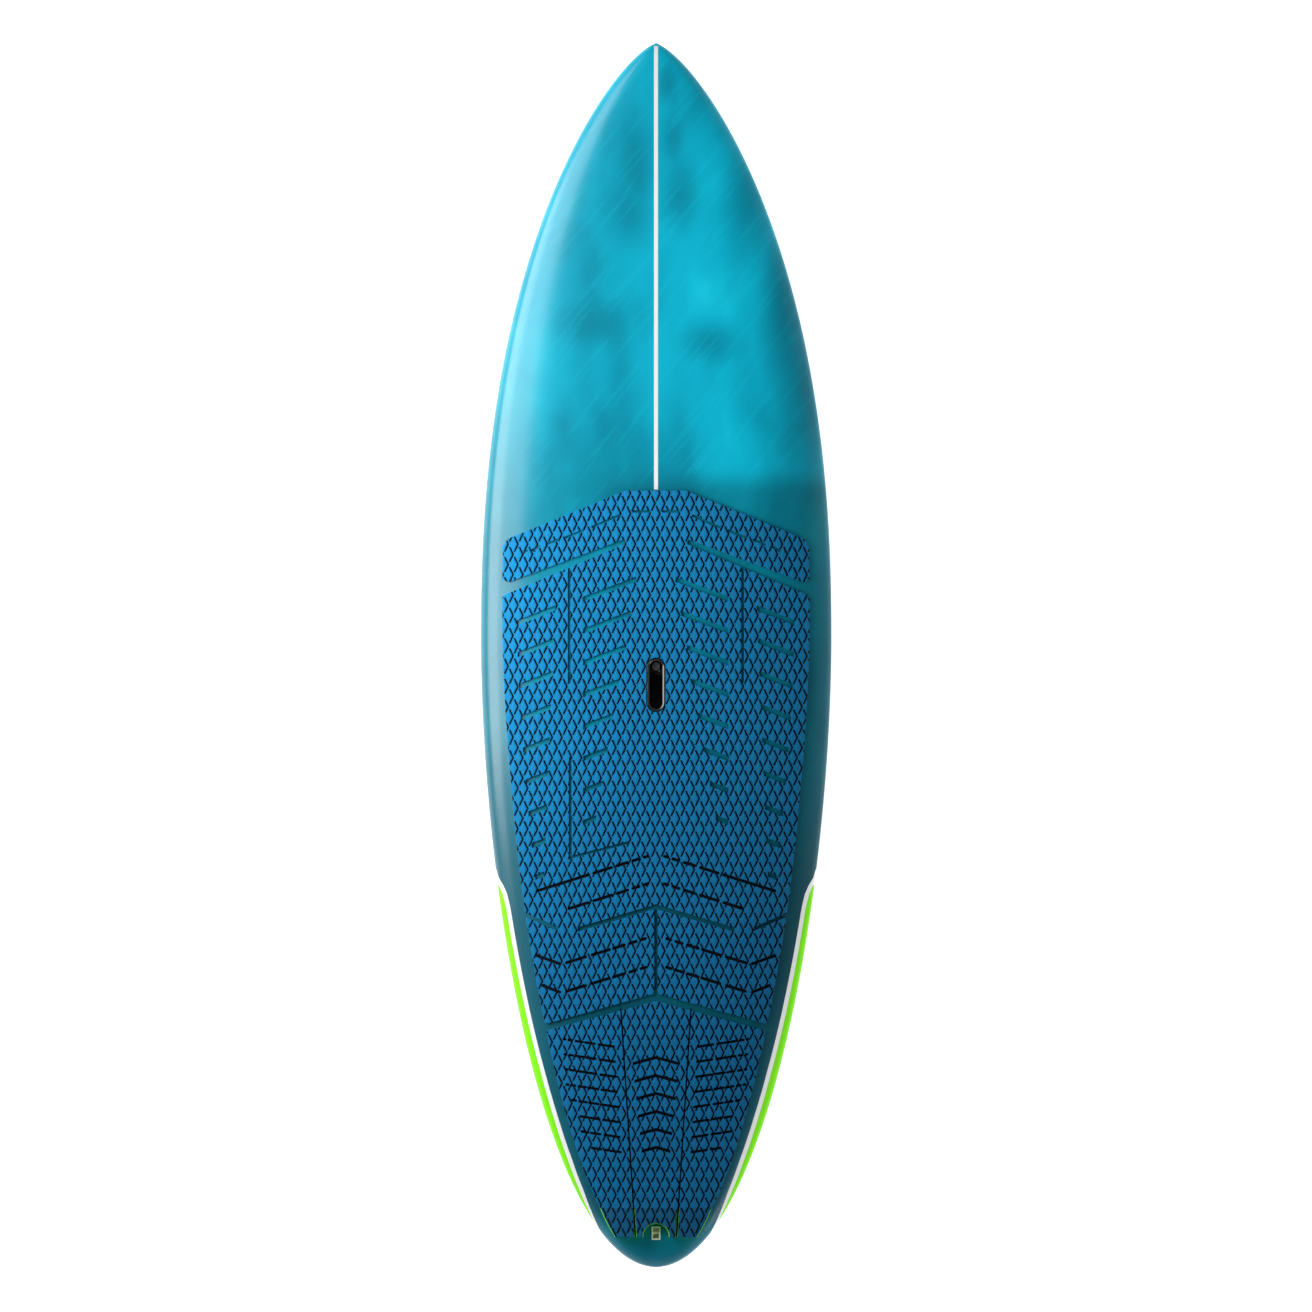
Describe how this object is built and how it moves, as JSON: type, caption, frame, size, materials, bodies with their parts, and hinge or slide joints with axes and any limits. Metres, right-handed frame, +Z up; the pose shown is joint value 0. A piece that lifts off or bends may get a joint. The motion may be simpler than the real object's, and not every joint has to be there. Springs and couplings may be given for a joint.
{
  "type": "stand up paddleboard",
  "caption": "Surf-shaped stand up paddleboard with a pointed nose, rounded tail, full deck pad with tail kick, recessed carry handle, leash plug and fins.",
  "frame": {"origin": "centre of the flat patch of the hull's bottom, at half the board's length", "axes": "+Y to the nose, +X to the rider's right, +Z up out of the deck, with the flat of the bottom level"},
  "size_m": [0.6566, 2.286, 0.2633],
  "materials": {
    "foam": "matte",
    "stringer_wood": "matte",
    "sandwich_sheet": "matte",
    "deck_laminate": "gloss",
    "bottom_laminate": "gloss",
    "white_paint": "gloss",
    "pad_foam": "matte",
    "kick_foam": "matte",
    "black_plastic": "satin",
    "handle_panel": "matte",
    "vent_plastic": "satin",
    "membrane": "matte",
    "seal_rubber": "satin",
    "plug_plastic": "satin",
    "stainless": "satin",
    "box_plastic": "satin",
    "fin_composite": "satin",
    "brass": "satin"
  },
  "bodies": {
    "board": {"foam_core_left": "foam", "foam_core_right": "foam", "stringer": "stringer_wood", "deck_sandwich": "sandwich_sheet", "bottom_sandwich": "sandwich_sheet", "deck_shell": "deck_laminate", "bottom_shell": "bottom_laminate", "centre_pinline": "white_paint", "pad_main": "pad_foam", "pad_tail_left": "pad_foam", "pad_tail_centre": "pad_foam", "pad_tail_right": "pad_foam", "kick_wedge_left": "kick_foam", "kick_wedge_centre": "kick_foam", "kick_wedge_right": "kick_foam", "handle_cup": "black_plastic", "handle_floor": "handle_panel", "vent_body": "vent_plastic", "vent_membrane": "membrane", "leash_plug": "plug_plastic", "leash_pin": "stainless", "centre_fin_box": "box_plastic", "side_fin_box_left": "box_plastic", "side_fin_box_right": "box_plastic"},
    "centre_fin": {"centre_fin": "fin_composite", "fin_cross_pin": "brass", "fin_nut_plate": "brass"},
    "fin_screw": {"fin_screw": "stainless"},
    "left_fin": {"side_fin_left": "fin_composite"},
    "right_fin": {"side_fin_right": "fin_composite"},
    "left_grub_screw": {"grub_screw_left": "stainless"},
    "right_grub_screw": {"grub_screw_right": "stainless"},
    "vent_plug": {"vent_plug": "vent_plastic", "vent_o_ring": "seal_rubber"}
  },
  "joints": [
    {"name": "centre_fin_slide", "type": "slide", "parent": "board", "child": "centre_fin", "axis": [0, 0.9967, -0.0809], "range_m": [-0.028, 0.028]},
    {"name": "fin_screw_turn", "type": "hinge", "parent": "centre_fin", "child": "fin_screw", "pos_m": [0, -0.85458, 0.03963], "axis": [0, -0.0809, -0.9967], "range_deg": [0, 1080]},
    {"name": "left_fin_pull", "type": "slide", "parent": "board", "child": "left_fin", "axis": [-0.087, -0.076, -0.9933], "range_m": [0, 0.02]},
    {"name": "right_fin_pull", "type": "slide", "parent": "board", "child": "right_fin", "axis": [0.087, -0.076, -0.9933], "range_m": [0, 0.02]},
    {"name": "left_grub_turn", "type": "hinge", "parent": "board", "child": "left_grub_screw", "pos_m": [-0.15834, -0.72032, 0.02071], "axis": [0.037, 0.6467, -0.7619], "range_deg": [0, 720]},
    {"name": "right_grub_turn", "type": "hinge", "parent": "board", "child": "right_grub_screw", "pos_m": [0.15834, -0.72032, 0.02071], "axis": [-0.037, 0.6467, -0.7619], "range_deg": [0, 720]},
    {"name": "vent_plug_turn", "type": "hinge", "parent": "board", "child": "vent_plug", "pos_m": [0, -0.019, 0.08793], "axis": [0, 0, 1], "range_deg": [0, 1080]}
  ]
}
